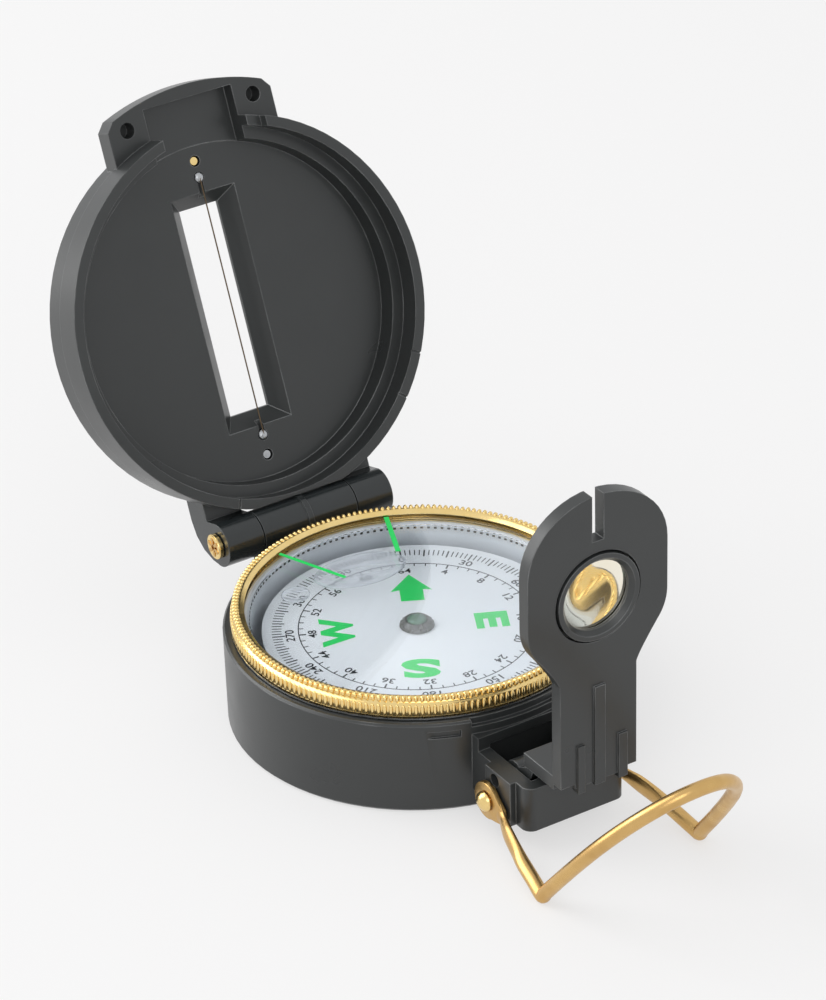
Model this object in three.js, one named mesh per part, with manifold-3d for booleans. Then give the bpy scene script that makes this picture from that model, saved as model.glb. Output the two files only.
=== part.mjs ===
// Sighting compass: a moulded case with a liquid capsule, a turning brass bezel, a slotted sighting lid,
// a folding eyepiece and a wire thumb loop. Millimetres. +Z is up, +Y is the sighting direction,
// and the origin is the middle of the case's underside, on the dial's axis.
import * as THREE from "three";
import { mergeVertices } from "three/addons/utils/BufferGeometryUtils.js";
import Module from "manifold-3d";

const wasm = await Module();
wasm.setup();

// ---- driving dimensions ----
const CASE_R = 28.5; // outside radius of the case
const CASE_FOOT_R = 28.3; // the wall drafts in a little at the bottom
const CASE_H = 14.9; // height of the case rim
const WALL = 1.8;
const FLOOR = 2.2;
const GAP = 0.2; // clearance between separate pieces
const BORE_GAP = 0.28; // radial clearance of a pin in its bore

const BOX_X = 8.42; // half width of the front box
const BOX_Y = -41.15; // its front face
const BOX_BOTTOM = 3.3;
const BOX_TOP = 10.45;
const BOX_WALL = 2.0;
const BOX_CORNER = 1.6;
const SHELF_TOP = 12.6; // ledge that closes the back of the box
const SHELF_Y = -28.75;
const BOSS_X = 9.4; // the thicker pads that hold the loop's rivets
const BOSS_Y = [-38.2, -31.9];

const HINGE_Y = 32.2; // lid hinge axis
const HINGE_Z = 16.64;
const KNUCKLE_R = 3.4;
const HINGE_HALF = 14.5; // half length of the hinge barrel
const CASE_KNUCKLE_HALF = 8.15;
const HINGE_PIN_R = 1.0;

const LID_LEAN = 23.0; // degrees past upright when open
const LID_R = 29.6;
const LID_CENTRE = HINGE_Y; // the closed lid is concentric with the case
const LID_RIM = -1.15; // local depths: negative is towards the dial when closed
const LID_STEP = 2.6;
const LID_FLOOR = 5.6;
const LID_BACK = 8.8;
const TAB_R = 35.3;
const TAB_X = 14.1;
const TAB_FACE = 3.0;
const TAB_BACK = 6.4;
const POCKET_X = 7.6;
const POCKET_END = 65.5;
const SLOT_X = 3.33;
const SLOT_S = [16.5, 48.7];
const BEVEL_X = 5.47;
const BEVEL_S = [14.4, 50.8];
const POST_S = [12.8, 53.2];
const PLUG_S = [9.7, 55.7];
const TAB_HOLE = [10.9, 63.2, 1.2];

const BEZEL_R = 27.38;
const BEZEL_Z = [15.5, 18.75];
const CRYSTAL_R = 26.25;
const CRYSTAL_Z = [16.9, 17.65];
const DIAL_R = 22.8;
const DIAL_Z = [12.85, 13.3];
const CUP_R = 26.4;
const CUP_IN = 24.0;
const CUP_Z = [2.5, 3.7, 15.0];
const COVER_Z = [15.6, 16.05]; // the capsule's clear lid

const EYE_PIN = [-34.3, 9.0]; // y and z of the eyepiece's pivot
const EYE_PIN_R = 0.75;
const PLATE_IN = -10.1; // local y of the plate's inner face when upright
const PLATE_T = 2.1;
const STEM_X = 6.4;
const HEAD_X = 11.6;
const LENS_Z = 33.3; // height of the lens above the pivot
const PLATE_TOP = 49.4;
const RIB_PROUD = 0.35; // the ribs stand clear of the sighting wire when folded under the lid

const LOOP_PIN = [-33.6, 5.6]; // y and z of the loop's pivot
const WIRE_R = 1.05;
const EYELET_X = [9.65, 10.55];

const FINE = 80; // sides of the large round pieces
const MID = 48;
const SMALL = 20;

// ---- helpers ----
const deg = THREE.MathUtils.degToRad;

function solid(geometry) {
  const bare = geometry.clone();
  bare.deleteAttribute("normal");
  bare.deleteAttribute("uv");
  const merged = mergeVertices(bare, 1e-4);
  const kept = [];
  const index = merged.index.array;
  for (let i = 0; i < index.length; i += 3) {
    const [a, b, c] = [index[i], index[i + 1], index[i + 2]];
    if (a !== b && b !== c && c !== a) kept.push(a, b, c);
  }
  const position = new Float32Array(merged.attributes.position.array);
  if (signedVolume(position, kept) < 0) {
    for (let i = 0; i < kept.length; i += 3) [kept[i], kept[i + 1]] = [kept[i + 1], kept[i]];
  }
  const mesh = new wasm.Mesh({ numProp: 3, vertProperties: position, triVerts: new Uint32Array(kept) });
  return new wasm.Manifold(mesh);
}

function signedVolume(p, index) {
  let total = 0;
  for (let i = 0; i < index.length; i += 3) {
    const [a, b, c] = [index[i] * 3, index[i + 1] * 3, index[i + 2] * 3];
    total += p[a] * (p[b + 1] * p[c + 2] - p[b + 2] * p[c + 1]);
    total -= p[a + 1] * (p[b] * p[c + 2] - p[b + 2] * p[c]);
    total += p[a + 2] * (p[b] * p[c + 1] - p[b + 1] * p[c]);
  }
  return total;
}

function geometryOf(body) {
  const mesh = body.getMesh();
  const geometry = new THREE.BufferGeometry();
  geometry.setAttribute("position", new THREE.BufferAttribute(new Float32Array(mesh.vertProperties), 3));
  geometry.setIndex(new THREE.BufferAttribute(new Uint32Array(mesh.triVerts), 1));
  geometry.computeVertexNormals();
  return geometry;
}

function cut(body, ...tools) {
  return tools.reduce((rest, tool) => rest.subtract(tool), body);
}

function join(body, ...others) {
  return others.reduce((sum, other) => sum.add(other), body);
}

// A turned solid round +Z from a closed profile of [radius, z] points.
function turned(profile, sides = MID) {
  const points = [...profile, profile[0]].map(([r, z]) => new THREE.Vector2(r, z));
  return solid(new THREE.LatheGeometry(points, sides).rotateX(Math.PI / 2));
}

// A turned solid round the lid's own +Y, centred on the lid's disc.
function lidTurned(profile, sides = FINE) {
  const points = [...profile, profile[0]].map(([r, y]) => new THREE.Vector2(r, y));
  return solid(new THREE.LatheGeometry(points, sides).translate(0, 0, LID_CENTRE));
}

// Prisms: the outline is given in the plane across the axis named.
function prismZ(outline, z0, z1) {
  return solid(extrusion(outline, z1 - z0).translate(0, 0, z0));
}

function prismY(outline, y0, y1) {
  return solid(extrusion(outline, y1 - y0).rotateX(Math.PI / 2).translate(0, y1, 0));
}

function prismX(outline, x0, x1) {
  const turn = new THREE.Matrix4().makeBasis(
    new THREE.Vector3(0, 1, 0), new THREE.Vector3(0, 0, 1), new THREE.Vector3(1, 0, 0));
  return solid(extrusion(outline, x1 - x0).applyMatrix4(turn).translate(x0, 0, 0));
}

function extrusion(outline, depth) {
  const points = outline instanceof THREE.Shape ? null : outline.map(([a, b]) => new THREE.Vector2(a, b));
  const shape = points ? new THREE.Shape(points) : outline;
  return new THREE.ExtrudeGeometry(shape, { depth, bevelEnabled: false, curveSegments: 12 });
}

function block(x, y, z) {
  const size = [x[1] - x[0], y[1] - y[0], z[1] - z[0]];
  const middle = [(x[0] + x[1]) / 2, (y[0] + y[1]) / 2, (z[0] + z[1]) / 2];
  return solid(new THREE.BoxGeometry(...size).translate(...middle));
}

function rodX(x0, x1, y, z, r, sides = SMALL) {
  const rod = new THREE.CylinderGeometry(r, r, x1 - x0, sides).rotateZ(-Math.PI / 2);
  return solid(rod.translate((x0 + x1) / 2, y, z));
}

function rodY(x, z, y0, y1, r, sides = SMALL) {
  return solid(new THREE.CylinderGeometry(r, r, y1 - y0, sides).translate(x, (y0 + y1) / 2, z));
}

// A box whose two ends across Y differ: half width and [low, high] z at y0 and at y1.
function taperedY(y0, half0, z0, y1, half1, z1) {
  const ends = [[y0, half0, z0], [y1, half1, z1]];
  const corners = ends.flatMap(([y, h, z]) => [-h, y, z[0], h, y, z[0], h, y, z[1], -h, y, z[1]]);
  const faces = [0, 1, 2, 0, 2, 3, 4, 6, 5, 4, 7, 6];
  for (let i = 0; i < 4; i++) {
    const j = (i + 1) % 4;
    faces.push(i, i + 4, j, j, i + 4, j + 4);
  }
  const geometry = new THREE.BufferGeometry();
  geometry.setAttribute("position", new THREE.Float32BufferAttribute(corners, 3));
  geometry.setIndex(faces);
  return solid(geometry);
}

function disc(r, z0, z1, sides) {
  return turned([[0, z0], [r, z0], [r, z1], [0, z1]], sides);
}

function ring(r0, r1, z0, z1, sides = MID) {
  return turned([[r0, z0], [r1, z0], [r1, z1], [r0, z1]], sides);
}

const compass = new THREE.Group();
const lidGroup = new THREE.Group();
lidGroup.position.set(0, HINGE_Y, HINGE_Z);
lidGroup.rotation.x = -deg(LID_LEAN);
const eyeGroup = new THREE.Group();
eyeGroup.position.set(0, EYE_PIN[0], EYE_PIN[1]);
compass.add(lidGroup, eyeGroup);

const FINISH = {
  plastic: { color: 0x35373a, roughness: 0.42, metalness: 0 },
  brass: { color: 0xd6a94e, roughness: 0.3, metalness: 1 },
  steel: { color: 0xb9bcc0, roughness: 0.25, metalness: 1 },
  silvered: { color: 0xc9ced6, roughness: 0.3, metalness: 0.2 },
  clear: { color: 0xe8eef2, roughness: 0.05, metalness: 0 },
  card: { color: 0xe6eaee, roughness: 0.6, metalness: 0 },
  rubber: { color: 0x1c1c1c, roughness: 0.8, metalness: 0 },
  luminous: { color: 0x2fe070, roughness: 0.5, metalness: 0 },
};

function place(group, name, body, finish) {
  const mesh = new THREE.Mesh(geometryOf(body), new THREE.MeshStandardMaterial(FINISH[finish]));
  mesh.name = name;
  group.add(mesh);
}

// ---- case ----
function caseBody() {
  const outer = turned([[0, 0], [CASE_FOOT_R - 0.5, 0], [CASE_FOOT_R, 0.5], [CASE_R, CASE_H - 0.3],
    [CASE_R - 0.3, CASE_H], [0, CASE_H]], FINE);
  const inner = CASE_R - WALL;
  const cavity = disc(inner, FLOOR, CASE_H + 10, FINE);
  const box = cut(prismZ(boxOutline(), BOX_BOTTOM, BOX_TOP),
    block([-BOX_X + BOX_WALL, BOX_X - BOX_WALL], [BOX_Y + BOX_WALL, 0], [BOX_BOTTOM + BOX_WALL, BOX_TOP + 1]));
  const shelf = block([-BOX_X, BOX_X], [SHELF_Y, -20], [BOX_TOP + 0.6, SHELF_TOP]);
  const bosses = [-1, 1].map((side) => block(
    side < 0 ? [-BOSS_X, -BOX_X + 1] : [BOX_X - 1, BOSS_X], BOSS_Y, [BOX_BOTTOM, BOX_TOP]));
  const cheeks = [-1, 1].map((side) => block(
    side < 0 ? [-BOX_X, -BOX_X + BOX_WALL] : [BOX_X - BOX_WALL, BOX_X], [SHELF_Y, -20], [BOX_TOP - 1, SHELF_TOP]));
  const rebate = cut(block([-BOX_X, BOX_X], [-30, -24], [CASE_H - 1.1, CASE_H + 1]),
    disc(CASE_R - 0.75, 0, CASE_H + 2, FINE));
  const gateMark = block([-14.6, -9.9], [-29, -24.6], [12.5, 13.6]);
  const gateLimit = disc(CASE_R - 0.45, 0, CASE_H + 1, FINE);
  const body = join(outer, box, shelf, ...bosses, ...cheeks, hingeRoot());
  const bores = [
    rodX(-20, 20, HINGE_Y, HINGE_Z, HINGE_PIN_R + BORE_GAP),
    rodX(-BOX_X - 1, BOX_X + 1, ...EYE_PIN, EYE_PIN_R + BORE_GAP),
    rodX(-12, -BOX_X + BOX_WALL + 0.6, ...LOOP_PIN, 0.95 + BORE_GAP),
    rodX(BOX_X - BOX_WALL - 0.6, 12, ...LOOP_PIN, 0.95 + BORE_GAP),
  ];
  return cut(body, cavity, rebate, cut(gateMark, gateLimit), ...bores);
}

function boxOutline() {
  const r = BOX_CORNER;
  const shape = new THREE.Shape();
  shape.moveTo(-BOX_X, -20);
  shape.lineTo(-BOX_X, BOX_Y + r);
  shape.absarc(-BOX_X + r, BOX_Y + r, r, Math.PI, 1.5 * Math.PI, false);
  shape.lineTo(BOX_X - r, BOX_Y);
  shape.absarc(BOX_X - r, BOX_Y + r, r, 1.5 * Math.PI, 2 * Math.PI, false);
  shape.lineTo(BOX_X, -20);
  return shape;
}

function hingeRoot() {
  const half = CASE_KNUCKLE_HALF;
  const barrel = rodX(-half, half, HINGE_Y, HINGE_Z, KNUCKLE_R, 32);
  const bead = rodX(-0.45, 0.45, HINGE_Y, HINGE_Z, KNUCKLE_R + 0.25, 32);
  const gusset = prismX([[20, 5], [28, 5.5], [HINGE_Y + 1.6, HINGE_Z - 3.1], [HINGE_Y, HINGE_Z],
    [29.6, CASE_H - 0.05], [20, CASE_H - 0.05]], -half, half);
  return join(barrel, bead, gusset);
}

// ---- capsule, dial and bezel ----
function capsuleCup() {
  return turned([[0, CUP_Z[0]], [CUP_R, CUP_Z[0]], [CUP_R, CUP_Z[2]], [CUP_IN + 0.4, CUP_Z[2]],
    [CUP_IN, CUP_Z[1]], [0, CUP_Z[1]]], MID);
}

function pivotPost() {
  const foot = CUP_Z[1] + GAP;
  return turned([[0, foot], [3, foot], [3, foot + 1.2], [1.1, foot + 2], [0.8, 10.45], [0, 12.95]], SMALL);
}

function dialHub() {
  const top = DIAL_Z[1];
  return turned([[0, 13.2], [0.95, 10.75], [1.3, 10.75], [1.3, top + GAP], [2.6, top + GAP],
    [2.1, top + 0.9], [1.7, top + 1.3], [0, top + 1.5]], SMALL);
}

function dialMagnet() {
  const bar = block([-2.2, 2.2], [-15, 15], [10.95, DIAL_Z[0] - GAP]);
  return cut(bar, disc(1.6, 10, 14, SMALL));
}

function bezelRing() {
  const [low, high] = BEZEL_Z;
  return turned([[26.5, low], [BEZEL_R, low], [BEZEL_R, low + 1.95], [26.72, low + 2.1], [26.95, low + 2.35],
    [26.9, high - 0.25], [26.4, high], [25.9, high - 0.15], [25.2, low + 2.45], [25.2, low + 2.35],
    [26.5, low + 2.35]], FINE);
}

function indexLine(azimuth, r0, r1, width) {
  const z = CRYSTAL_Z[1] + 0.04;
  const strip = new THREE.BoxGeometry(width, r1 - r0, 0.12).translate(0, (r0 + r1) / 2, z + 0.06);
  return solid(strip.rotateZ(-deg(azimuth)));
}

// ---- lid, built flat in its own frame: z runs from the hinge to the tab, y out of its back ----
function lidShell() {
  const shell = lidTurned([[0, LID_FLOOR], [25.8, LID_FLOOR], [26.1, LID_STEP], [28.0, LID_STEP],
    [28.0, LID_RIM], [LID_R, LID_RIM], [LID_R, 3.9], [LID_R - 0.35, 4.1], [LID_R - 0.35, LID_BACK - 0.7],
    [LID_R - 1.1, LID_BACK], [0, LID_BACK]]);
  const tab = cut(prismY(tabOutline(), TAB_FACE, TAB_BACK), rodY(0, LID_CENTRE, -5, LID_BACK, LID_R - 2, FINE));
  const arms = [-1, 1].map((side) => lidArm(side));
  const clearing = lidTurned([[0, -6], [28.0, -6], [28.0, LID_STEP], [26.1, LID_STEP], [25.8, LID_FLOOR],
    [0, LID_FLOOR]]);
  const body = join(cut(join(...arms), clearing), shell, tab);
  const pocket = block([-POCKET_X, POCKET_X], [-5, LID_FLOOR - 0.1], [52, POCKET_END]);
  const windows = join(
    block([-SLOT_X, SLOT_X], [LID_FLOOR, LID_BACK + 1], SLOT_S),
    taperedY(LID_FLOOR - 0.3, BEVEL_X + 0.3, [BEVEL_S[0] - 0.3, BEVEL_S[1] + 0.3], LID_BACK - 0.6, SLOT_X, SLOT_S));
  const holes = [
    ...POST_S.map((s) => rodY(0, s, LID_FLOOR - 1, LID_FLOOR + 1.7, 0.85)),
    ...PLUG_S.map((s) => rodY(0, s, LID_FLOOR - 1, LID_FLOOR + 1.7, 0.85)),
    ...[-1, 1].map((side) => rodY(side * TAB_HOLE[0], TAB_HOLE[1], 0, TAB_BACK - 0.8, TAB_HOLE[2], 24)),
  ];
  const wireGrooves = [
    block([-0.45, 0.45], [LID_FLOOR - 0.2, LID_FLOOR + 0.9], [POST_S[0], BEVEL_S[0] + 1.2]),
    block([-0.45, 0.45], [LID_FLOOR - 0.2, LID_FLOOR + 0.9], [BEVEL_S[1] - 1.2, POST_S[1]]),
  ];
  const notch = block([POCKET_X - 0.2, POCKET_X + 2.3], [-3, 0.6], [56, 64]);
  const bore = rodX(-20, 20, 0, 0, HINGE_PIN_R + BORE_GAP);
  const knuckleRoom = rodX(-CASE_KNUCKLE_HALF - GAP, CASE_KNUCKLE_HALF + GAP, 0, 0, KNUCKLE_R + 0.45, 32);
  return cut(body, pocket, windows, notch, bore, knuckleRoom, ...holes, ...wireGrooves, ...rimMarks());
}

function tabOutline() {
  const shape = new THREE.Shape();
  const corner = 1.2;
  const sideZ = LID_CENTRE + Math.sqrt(TAB_R ** 2 - TAB_X ** 2);
  const half = Math.asin((TAB_X - corner) / TAB_R);
  shape.moveTo(-TAB_X, LID_CENTRE + 18);
  shape.lineTo(TAB_X, LID_CENTRE + 18);
  shape.lineTo(TAB_X, sideZ - corner * 0.8);
  shape.absarc(0, LID_CENTRE, TAB_R, Math.PI / 2 - half, Math.PI / 2 + half, false);
  shape.lineTo(-TAB_X, sideZ - corner * 0.8);
  return shape;
}

// A hinge arm: a cheek that wraps the barrel and runs up the back of the lid.
function lidArm(side) {
  const seam = CASE_KNUCKLE_HALF + GAP;
  const [x0, x1] = side < 0 ? [-HINGE_HALF, -seam] : [seam, HINGE_HALF];
  const knuckle = rodX(x0, x1, 0, 0, KNUCKLE_R, 32);
  const cheek = prismX([[-0.3, KNUCKLE_R - 0.05], [0.6, -KNUCKLE_R + 0.05], [2.9, -2.5], [5.1, -0.95], [6.5, 1.15], [7, 3.55],
    [7, 9], [2, 9], [2, 3.6]], x0, x1);
  return join(knuckle, cheek);
}

// Fine mould lines across the rim.
function rimMarks() {
  return [-28, -42, 250].map((angle) => {
    const mark = new THREE.BoxGeometry(4, 1.2, 0.3).translate(LID_R - 1.2, LID_RIM - 0.35, 0);
    return solid(mark.rotateY(-deg(angle)).translate(0, 0, LID_CENTRE));
  });
}

function wirePost(s) {
  const y = LID_FLOOR + 1.5;
  const points = [[0, y], [0.62, y], [0.62, y - 1.6], [0.4, y - 1.85], [0, y - 1.9]];
  const profile = [...points, points[0]].map(([r, d]) => new THREE.Vector2(r, d));
  return solid(new THREE.LatheGeometry(profile, 16).translate(0, 0, s));
}

function lidPlug(s) {
  return rodY(0, s, LID_FLOOR + 0.35, LID_FLOOR + 1.5, 0.62, 16);
}

function sightWire() {
  const reach = 0.75;
  const wire = new THREE.CylinderGeometry(0.13, 0.13, POST_S[1] - POST_S[0] - 2 * reach, 8);
  return solid(wire.rotateX(Math.PI / 2).translate(0, LID_FLOOR - 0.35, (POST_S[0] + POST_S[1]) / 2));
}

// ---- eyepiece, built upright round its pivot ----
function eyepiecePlate() {
  const outer = PLATE_IN - PLATE_T;
  const plate = prismY(plateOutline(), outer, PLATE_IN);
  const foot = block([-STEM_X, STEM_X], [PLATE_IN - 0.2, -3.0], [3.0, 5.2]);
  const knuckle = rodX(-6.0, 6.0, 0, 0, 1.95, 24);
  const web = prismX([[-3.0, 4], [-3.0, 2.6], [-0.8, 1.4], [-1.3, -1.0], [-4.1, 1.3], [-5.2, 4]], -6.0, 6.0);
  const ribs = [[-3.65, -2.5, 2.3, 10.1], [-0.85, 0.95, 2.8, 19.0], [3.2, 4.7, 2.5, 9.8]]
    .map(([x0, x1, z0, z1]) => block([x0, x1], [outer - RIB_PROUD, PLATE_IN - 0.9], [z0, z1]));
  const slot = block([-0.95, 0.95], [-20, 0], [PLATE_TOP - 7.2, PLATE_TOP + 2]);
  const lensSeat = rodY(0, LENS_Z, outer - 1, PLATE_IN - 0.5, 7.1, MID);
  const lensHole = rodY(0, LENS_Z, -20, 0, 5.5, MID);
  const bore = rodX(-20, 20, 0, 0, EYE_PIN_R + BORE_GAP);
  return cut(join(plate, foot, knuckle, web, ...ribs), slot, lensSeat, lensHole, bore);
}

function plateOutline() {
  const shape = new THREE.Shape();
  const neckZ = 20.6;
  const headLow = 27.5;
  const arcZ = PLATE_TOP - HEAD_X * 1.02;
  const shoulder = 39.0;
  shape.moveTo(-STEM_X, 3.9);
  shape.lineTo(-4.0, 3.9);
  shape.lineTo(-4.0, 3.2);
  shape.lineTo(4.9, 3.2);
  shape.lineTo(4.9, 3.9);
  shape.lineTo(STEM_X, 3.9);
  shape.lineTo(STEM_X, neckZ);
  shape.quadraticCurveTo(STEM_X + 0.3, neckZ + 1.2, HEAD_X - 1.6, headLow - 1.2);
  shape.quadraticCurveTo(HEAD_X, headLow + 0.8, HEAD_X, headLow + 3.5);
  shape.lineTo(HEAD_X, shoulder);
  shape.absellipse(0, shoulder, HEAD_X, PLATE_TOP - shoulder, 0, Math.PI, false, 0);
  shape.lineTo(-HEAD_X, headLow + 3.5);
  shape.quadraticCurveTo(-HEAD_X, headLow + 0.8, -HEAD_X + 1.6, headLow - 1.2);
  shape.quadraticCurveTo(-STEM_X - 0.3, neckZ + 1.2, -STEM_X, neckZ);
  return shape;
}

function lensBody() {
  const edge = [PLATE_IN - 0.6, PLATE_IN - 0.95];
  const points = [[0, edge[0] + 0.5], [2.6, edge[0] + 0.37], [5.0, edge[0]], [6.8, edge[0]], [6.8, edge[1]],
    [5.0, edge[1]], [2.6, edge[1] - 0.33], [0, edge[1] - 0.45]];
  const profile = [...points, points[0]].map(([r, d]) => new THREE.Vector2(r, d));
  return solid(new THREE.LatheGeometry(profile, MID).translate(0, 0, LENS_Z));
}

function lensRing() {
  const y = [PLATE_IN - 1.15, PLATE_IN - 2.4];
  const points = [[5.3, y[0]], [6.85, y[0]], [6.75, y[1]], [6.0, y[1]], [5.35, y[0] - 0.5]];
  const profile = [...points, points[0]].map(([r, d]) => new THREE.Vector2(r, d));
  return solid(new THREE.LatheGeometry(profile, MID).translate(0, 0, LENS_Z));
}

// ---- pins, rivets and the thumb loop ----
function hingePin() {
  const shank = rodX(-HINGE_HALF - 0.25, HINGE_HALF + 0.25, HINGE_Y, HINGE_Z, HINGE_PIN_R);
  const rolledEnd = rodX(-HINGE_HALF - 0.75, -HINGE_HALF - GAP, HINGE_Y, HINGE_Z, 1.95, 24);
  const dimple = rodX(-HINGE_HALF - 1, -HINGE_HALF - 0.35, HINGE_Y, HINGE_Z, 0.6, 12);
  const head = rodX(HINGE_HALF + GAP, HINGE_HALF + 0.6, HINGE_Y, HINGE_Z, 1.8, 24);
  return cut(join(shank, rolledEnd, head), dimple);
}

function loopRivet(side) {
  const profile = [[0, 7.65], [0.95, 7.65], [0.95, 10.75], [1.55, 10.75], [1.4, 11.2], [0.8, 11.6], [0, 11.7]];
  const points = [...profile, profile[0]].map(([r, x]) => new THREE.Vector2(r, x));
  const turn = side < 0 ? Math.PI / 2 : -Math.PI / 2;
  return solid(new THREE.LatheGeometry(points, SMALL).rotateZ(turn).translate(0, ...LOOP_PIN));
}

// The half of the wire's route on +X, from the eyelet to the top of the bow.
function loopHalf() {
  const slope = deg(51.3);
  const bow = (x, d) => [x, -52.0 - d * Math.cos(slope), 1.1 + d * Math.sin(slope)];
  return [[10.1, -36.9, 4.8], [11.2, -40.2, 4.0], [12.4, -45.6, 2.7], [13.2, -50.4, 1.45], [13.35, -52.0, 1.12],
    bow(13.3, 1.6), bow(12.9, 7), bow(12.1, 13), bow(10.8, 18.5), bow(8.4, 23.6), bow(4.6, 27.8), bow(0, 29.2)];
}

function thumbLoop() {
  const half = loopHalf();
  const mirrored = half.slice(0, -1).reverse().map(([x, y, z]) => [-x, y, z]);
  const route = new THREE.CatmullRomCurve3([...half, ...mirrored].map((p) => new THREE.Vector3(...p)), false, "centripetal");
  const section = new THREE.Shape();
  section.absarc(0, 0, WIRE_R, 0, 2 * Math.PI, false);
  const wire = solid(new THREE.ExtrudeGeometry(section, { steps: 76, curveSegments: 5, extrudePath: route }));
  const eyelets = [-1, 1].map((side) => {
    const x = side < 0 ? [-EYELET_X[1], -EYELET_X[0]] : EYELET_X;
    const plate = prismX(eyeletOutline(), ...x);
    return cut(plate, rodX(-15, 15, ...LOOP_PIN, 0.95 + BORE_GAP));
  });
  const trim = [-1, 1].map((side) => block(side < 0 ? [-9.6, 0] : [0, 9.6], [-42, -30], [0, 12]));
  return cut(join(wire, ...eyelets), ...trim);
}

function eyeletOutline() {
  const [y, z] = LOOP_PIN;
  const r = 2.9;
  const tail = deg(194);
  const point = (angle, radius) => [y + radius * Math.cos(angle), z + radius * Math.sin(angle)];
  const shape = new THREE.Shape();
  shape.moveTo(...point(tail + 0.42, 4.2));
  shape.lineTo(...point(tail + 0.75, r));
  shape.absarc(y, z, r, tail + 0.8, tail + 2 * Math.PI - 0.8, false);
  shape.lineTo(...point(tail - 0.42, 4.2));
  shape.lineTo(...point(tail - 0.16, 5.6));
  shape.lineTo(...point(tail + 0.16, 5.6));
  return shape;
}

// ---- the assembly ----
place(compass, "case_body", caseBody(), "plastic");
place(compass, "capsule_cup", capsuleCup(), "silvered");
place(compass, "capsule_gasket", ring(CUP_IN + 0.5, CUP_R - 0.2, CUP_Z[2] + GAP, COVER_Z[0] - GAP), "rubber");
place(compass, "capsule_cover", disc(CUP_R - 0.2, ...COVER_Z, MID), "clear");
place(compass, "pivot_post", pivotPost(), "steel");
place(compass, "bezel_spring", ring(26.75, 27.3, CASE_H + 0.15, BEZEL_Z[0] - 0.2), "steel");
place(compass, "hinge_pin", hingePin(), "brass");
place(compass, "eyepiece_pin", rodX(-BOX_X, BOX_X, ...EYE_PIN, EYE_PIN_R), "steel");
place(compass, "loop_rivet_left", loopRivet(-1), "brass");
place(compass, "loop_rivet_right", loopRivet(1), "brass");

place(compass, "dial_card", ring(1.5, DIAL_R, ...DIAL_Z, FINE), "card");
place(compass, "dial_magnet", dialMagnet(), "steel");
place(compass, "jewel_cap", dialHub(), "steel");

place(compass, "bezel_ring", bezelRing(), "brass");
place(compass, "crystal", disc(CRYSTAL_R, ...CRYSTAL_Z, MID), "clear");
place(compass, "crystal_retainer", ring(25.3, 26.3, COVER_Z[1] + GAP, CRYSTAL_Z[0] - GAP), "brass");
place(compass, "index_line_wide", indexLine(22.5, 14.9, 25.0, 0.75), "luminous");
place(compass, "index_line_narrow", indexLine(-21.5, 12.9, 25.0, 0.5), "luminous");

place(lidGroup, "lid_shell", lidShell(), "plastic");
place(lidGroup, "sight_wire", sightWire(), "brass");
place(lidGroup, "wire_post_bottom", wirePost(POST_S[0]), "steel");
place(lidGroup, "wire_post_top", wirePost(POST_S[1]), "steel");
place(lidGroup, "lid_plug_bottom", lidPlug(PLUG_S[0]), "steel");
place(lidGroup, "lid_plug_top", lidPlug(PLUG_S[1]), "brass");

place(eyeGroup, "eyepiece_plate", eyepiecePlate(), "plastic");
place(eyeGroup, "lens", lensBody(), "clear");
place(eyeGroup, "lens_ring", lensRing(), "plastic");

place(compass, "thumb_loop", thumbLoop(), "brass");

export default compass;
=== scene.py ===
"""Sighting compass: finishes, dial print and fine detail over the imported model. Run as a script."""
import math

import bmesh
import bpy
from bpy.props import FloatProperty, FloatVectorProperty, IntProperty, PointerProperty
from mathutils import Matrix, Vector


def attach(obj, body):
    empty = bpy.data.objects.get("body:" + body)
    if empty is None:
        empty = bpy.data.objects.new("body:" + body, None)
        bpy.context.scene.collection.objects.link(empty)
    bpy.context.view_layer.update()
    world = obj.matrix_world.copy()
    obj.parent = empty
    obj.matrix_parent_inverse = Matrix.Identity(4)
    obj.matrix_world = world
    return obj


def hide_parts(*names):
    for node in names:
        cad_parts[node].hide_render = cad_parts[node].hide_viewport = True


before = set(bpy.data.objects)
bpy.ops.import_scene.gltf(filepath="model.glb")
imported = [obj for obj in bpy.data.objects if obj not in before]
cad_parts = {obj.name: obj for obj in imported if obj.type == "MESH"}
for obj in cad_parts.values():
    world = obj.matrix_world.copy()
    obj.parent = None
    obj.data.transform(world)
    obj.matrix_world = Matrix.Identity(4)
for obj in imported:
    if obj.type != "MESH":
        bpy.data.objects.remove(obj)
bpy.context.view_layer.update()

bl_info = {
    "name": "Sighting Compass",
    "version": (1, 0, 0),
    "blender": (4, 5, 0),
    "location": "View3D > Sidebar > Compass",
    "description": "Finishes, dial print and fine detail of a pocket sighting compass",
    "category": "Object",
}

MM = 0.001  # lengths are in mm until they are multiplied by this, apart from the lamps' places and sizes

LID_LEAN = 23.0  # degrees the open lid leans past upright
LID_AXIS = (0.0, 32.2, 16.64)  # the lid hinge
BARREL_REACH = 3.75  # faces nearer than this to the lid hinge are the barrel's
PIN_END_X = -15.2  # the rolled end of the hinge pin
SIGHT_WIRE = (12.8, 53.2)  # the sighting wire's ends, from the lid hinge

DIAL_TOP = 13.3
NORTH = 26.0  # degrees the dial's north lies clockwise of the sighting line
PRINT_RISE = 0.015  # middle of the print over the card
PRINT_THICK = 0.024
CAPITAL = 0.73  # height of a capital as a share of the font's size

LOOP_PIN = (-33.6, 5.6)  # y and z of the thumb loop's pivot
LOOP_CORNER = (-52.0, 1.1)  # y and z of its bent corners
LOOP_SLOPE = 51.3  # degrees its bow rises from the corners
WIRE_R = 1.08
EYELET_X = 10.1  # middle of each eyelet's thickness

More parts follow.
